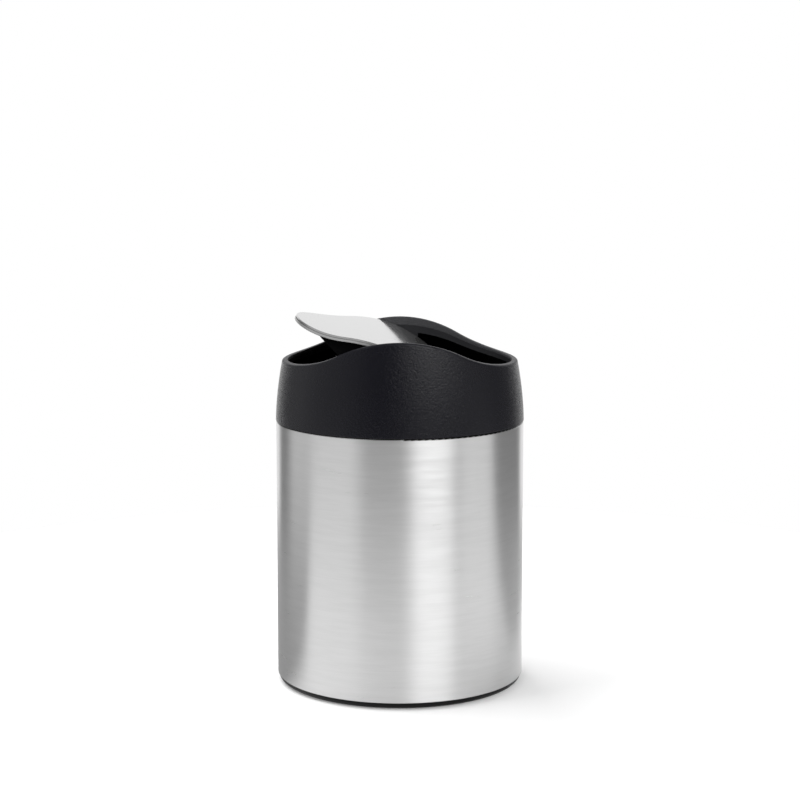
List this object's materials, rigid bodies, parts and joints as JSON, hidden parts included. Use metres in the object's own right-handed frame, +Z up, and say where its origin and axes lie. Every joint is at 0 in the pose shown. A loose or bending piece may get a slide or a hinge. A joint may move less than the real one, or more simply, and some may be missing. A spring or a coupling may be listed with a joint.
{
  "type": "push top countertop bin",
  "caption": "Small round countertop bin: steel can on a black base, wavy black collar lid with a rocking push flap, and a lift-out inner bucket.",
  "frame": {"origin": "centre of the bin's footprint, on the surface it stands on", "axes": "+Z up the can's axis, -Y towards the front, the flap rocks about an axis along Y, so its wings point along -X and +X"},
  "size_m": [0.1304, 0.1304, 0.1945],
  "materials": {
    "brushed_shell": "circumferentially brushed stainless steel",
    "black_plastic": "matt black moulded plastic",
    "collar_plastic": "fine spark-textured matt black plastic",
    "ring_plastic": "matt black moulded plastic",
    "bucket_plastic": "plain moulded polypropylene, dark grey",
    "bush_plastic": "natural acetal",
    "flap_metal": "satin silver metal",
    "silver_plastic": "silver lacquered plastic",
    "pin_steel": "ground steel dowel",
    "screw_steel": "zinc plated steel",
    "weight_steel": "plain steel bar",
    "rubber_pad": "soft black rubber"
  },
  "bodies": {
    "can": {"shell": "brushed_shell", "base": "black_plastic", "foot_pad_1": "rubber_pad", "foot_pad_2": "rubber_pad", "foot_pad_3": "rubber_pad", "foot_pad_4": "rubber_pad"},
    "lid": {"collar": "collar_plastic", "pivot_ring": "ring_plastic", "ring_screws": "screw_steel", "front_bush": "bush_plastic", "rear_bush": "bush_plastic"},
    "flap": {"flap_skin": "flap_metal", "flap_panel": "silver_plastic", "flap_tray": "black_plastic", "tray_screws": "screw_steel", "counterweight": "weight_steel", "weight_screws": "screw_steel", "front_pin": "pin_steel", "rear_pin": "pin_steel"},
    "bucket": {"bucket": "bucket_plastic"}
  },
  "joints": [
    {"name": "lid_lift", "type": "slide", "parent": "can", "child": "lid", "axis": [0, 0, 1], "range_m": [0, 0.2]},
    {"name": "flap_swing", "type": "hinge", "parent": "lid", "child": "flap", "pos_m": [0, 0, 0.1733], "axis": [0, 1, 0], "range_deg": [-100, 44]},
    {"name": "bucket_lift", "type": "slide", "parent": "can", "child": "bucket", "axis": [0, 0, 1], "range_m": [0, 0.1]}
  ],
  "couplings": [
    {"joint": "bucket_lift", "follows": "lid_lift", "ratio": 0.5}
  ]
}
